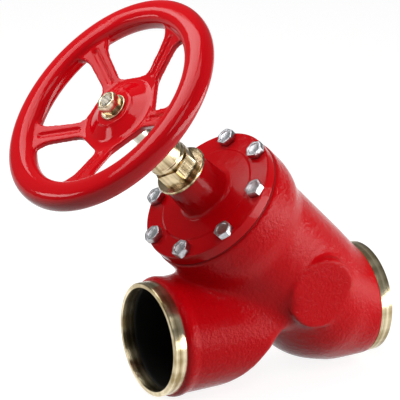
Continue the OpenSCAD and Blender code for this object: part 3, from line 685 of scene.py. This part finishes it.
# Handwheel
# Cast iron, in one piece: a dished hub plate, five spokes with a groove along each, and a wide
# rim that is hollow underneath. It is painted in the same red, with a smoother and thicker coat.
HUB_SEAT_RADIUS = 0.032
HUB_SEAT_SOFTNESS = 0.1
wheel_red = red_enamel("wheel_red", bright=(0.64, 0.002, 0.007), deep=(0.57, 0.001, 0.005),
                       grain=260.0, depth=0.6, bump=0.00007, roughness=0.06, gloss=0.19)
handwheel = copy_of_node("handwheel", "handwheel_casting")


def wheel_softness(point):
    """Full rounding outside the machined seat of the washer."""
    reach = stem_height(point)[1]
    return HUB_SEAT_SOFTNESS if reach < HUB_SEAT_RADIUS else 1.0


cast_over(handwheel, grain=0.0018, rounds=6, softness=wheel_softness)
handwheel.data.materials.clear()
handwheel.data.materials.append(wheel_red)
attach(handwheel, "spindle_group")
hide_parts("handwheel")

# Wheel washer and nut
# Zinc plated and yellow passivated steel. The nut holds the wheel down on the square of the
# spindle.
WASHER_LOW = 0.5146
WASHER_RADIUS = 0.0205
WASHER_FOOT_RADIUS = 0.0202
WASHER_TOP_RADIUS = 0.0200
WASHER_FOOT_BREAK = 0.0003
WASHER_TOP_BREAK = 0.0005
RECESS_RADIUS = 0.0178
RECESS_FLOOR_RADIUS = 0.0171
NUT_LOW = 0.5176
NUT_TOP = 0.5336
NUT_FLATS = 0.027
NUT_SINK = 0.0007
NUT_FOOT_RADIUS = 0.0138
NUT_FOOT_CHAMFER = 0.0006
NUT_BLANK_RADIUS = 0.0160
NUT_TOP_CHAMFER = 0.0011
NUT_TOP_RADIUS = 0.0140
STUD_RADIUS = 0.009
STUD_PLAY = 0.0003
STUD_CHAMFER = 0.0012
# The light and dark streaks round the stem on washer and nut are painted reflection.
nut_gold = turned_metal("nut_gold", light=(0.86, 0.74, 0.56), dark=(0.45, 0.34, 0.20),
                        roughness=0.22, lines=500.0, tilt=-STEM_TILT, bump=0.00005)
washer = turn_on_lathe("wheel_washer_turned", [
    (STUD_RADIUS + STUD_PLAY, WASHER_LOW), (WASHER_FOOT_RADIUS, WASHER_LOW),
    (WASHER_RADIUS, WASHER_LOW + WASHER_FOOT_BREAK), (WASHER_RADIUS, NUT_LOW - WASHER_TOP_BREAK),
    (WASHER_TOP_RADIUS, NUT_LOW), (RECESS_RADIUS, NUT_LOW), (RECESS_FLOOR_RADIUS, NUT_LOW - NUT_SINK),
    (STUD_RADIUS + STUD_PLAY, NUT_LOW - NUT_SINK)])
finish_turned(washer, STEM_FOOT, STEM_TILT, bevel=0.0002)
washer.data.materials.append(nut_gold)
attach(washer, "spindle_group")
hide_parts("wheel_washer")
nut_blank = turn_on_lathe("nut_blank", [
    (STUD_RADIUS, NUT_LOW - NUT_SINK), (NUT_FOOT_RADIUS, NUT_LOW - NUT_SINK),
    (NUT_BLANK_RADIUS, NUT_LOW + NUT_FOOT_CHAMFER), (NUT_BLANK_RADIUS, NUT_TOP - NUT_TOP_CHAMFER),
    (NUT_TOP_RADIUS, NUT_TOP), (STUD_RADIUS + STUD_CHAMFER, NUT_TOP), (STUD_RADIUS, NUT_TOP - STUD_CHAMFER)])
nut = spanner_hexagon("wheel_nut_turned", NUT_FLATS, low=NUT_LOW - 2 * BAR_OVERRUN,
                      high=NUT_TOP + BAR_OVERRUN, turn=radians(55), blank=nut_blank)
finish_turned(nut, STEM_FOOT, STEM_TILT, bevel=0.00025)
nut.data.materials.clear()
nut.data.materials.append(nut_gold)
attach(nut, "spindle_group")
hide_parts("wheel_nut")

# Floor and light
# A pale floor under the valve in an even grey room, with five soft boxes: a low wide one on
# the right, two behind the handwheel on the left, one overhead and one in front.
FLOOR_HEIGHT = -0.0905
VALVE_MIDDLE = (0.23, 0, 0.2)
WHEEL_MIDDLE = (0.44, 0, 0.37)
BONNET_MIDDLE = (0.30, 0, 0.25)
bpy.ops.object.select_all(action="DESELECT")
bpy.ops.mesh.primitive_plane_add(size=30, location=(0, 0, FLOOR_HEIGHT))
floor = bpy.context.object
floor.name = "floor"
pale_floor = bpy.data.materials.new("pale_floor")
pale_floor.use_nodes = True
floor_tree = pale_floor.node_tree
matt = floor_tree.nodes["Principled BSDF"]
matt.inputs["Base Color"].default_value = (0.20, 0.20, 0.20, 1)
matt.inputs["Roughness"].default_value = 1.0
matt.inputs["Specular IOR Level"].default_value = 0.0
pale = node_in(floor_tree, "ShaderNodeBsdfDiffuse", Color=(0.36, 0.36, 0.36, 1))
glow = node_in(floor_tree, "ShaderNodeEmission", Strength=0.86)
both = floor_tree.nodes.new("ShaderNodeAddShader")
pick = floor_tree.nodes.new("ShaderNodeMixShader")
path = floor_tree.nodes.new("ShaderNodeLightPath")
seen = node_in(floor_tree, "ShaderNodeMath", operation="MAXIMUM")
seen_too = node_in(floor_tree, "ShaderNodeMath", operation="MAXIMUM")
floor_link = floor_tree.links.new
floor_link(path.outputs["Is Camera Ray"], seen.inputs[0])
floor_link(path.outputs["Is Glossy Ray"], seen.inputs[1])
floor_link(seen.outputs[0], seen_too.inputs[0])
floor_link(path.outputs["Is Transmission Ray"], seen_too.inputs[1])
floor_link(pale.outputs[0], both.inputs[0])
floor_link(glow.outputs[0], both.inputs[1])
floor_link(seen_too.outputs[0], pick.inputs["Fac"])
floor_link(matt.outputs[0], pick.inputs[1])
floor_link(both.outputs[0], pick.inputs[2])
floor_link(pick.outputs[0], floor_tree.nodes["Material Output"].inputs["Surface"])
floor.data.materials.append(pale_floor)

room = bpy.data.worlds.new("room")
room.use_nodes = True
room.node_tree.nodes["Background"].inputs["Color"].default_value = (1, 1, 1, 1)
room.node_tree.nodes["Background"].inputs["Strength"].default_value = 0.20
bpy.context.scene.world = room


def soft_box(name, aim, direction, distance, width, height, radiance):
    """A rectangular lamp that faces a point of the valve from a direction (azimuth, elevation)."""
    azimuth, elevation = radians(direction[0]), radians(direction[1])
    away = (cos(azimuth) * cos(elevation), sin(azimuth) * cos(elevation), sin(elevation))
    place = [middle + distance * step for middle, step in zip(aim, away)]
    bpy.ops.object.select_all(action="DESELECT")
    bpy.ops.object.light_add(type="AREA", location=place, rotation=(pi / 2 - elevation, 0, azimuth + pi / 2))
    lamp = bpy.context.object
    lamp.name = name
    lamp.data.shape = "RECTANGLE"
    lamp.data.size = width
    lamp.data.size_y = height
    lamp.data.energy = radiance * width * height * pi


soft_box("right_box", VALVE_MIDDLE, (139, -4), distance=1.6, width=2.00, height=0.60, radiance=7.4)
soft_box("back_box", WHEEL_MIDDLE, (-52, 51), distance=1.3, width=1.00, height=0.95, radiance=4.2)
soft_box("low_box", WHEEL_MIDDLE, (-38, 13), distance=1.3, width=0.60, height=0.16, radiance=6.5)
soft_box("top_box", BONNET_MIDDLE, (10, 78), distance=1.7, width=0.80, height=0.80, radiance=3.0)
soft_box("front_box", VALVE_MIDDLE, (72, 46), distance=2.2, width=0.90, height=0.90, radiance=3.5)

bpy.context.scene.view_settings.view_transform = "Standard"
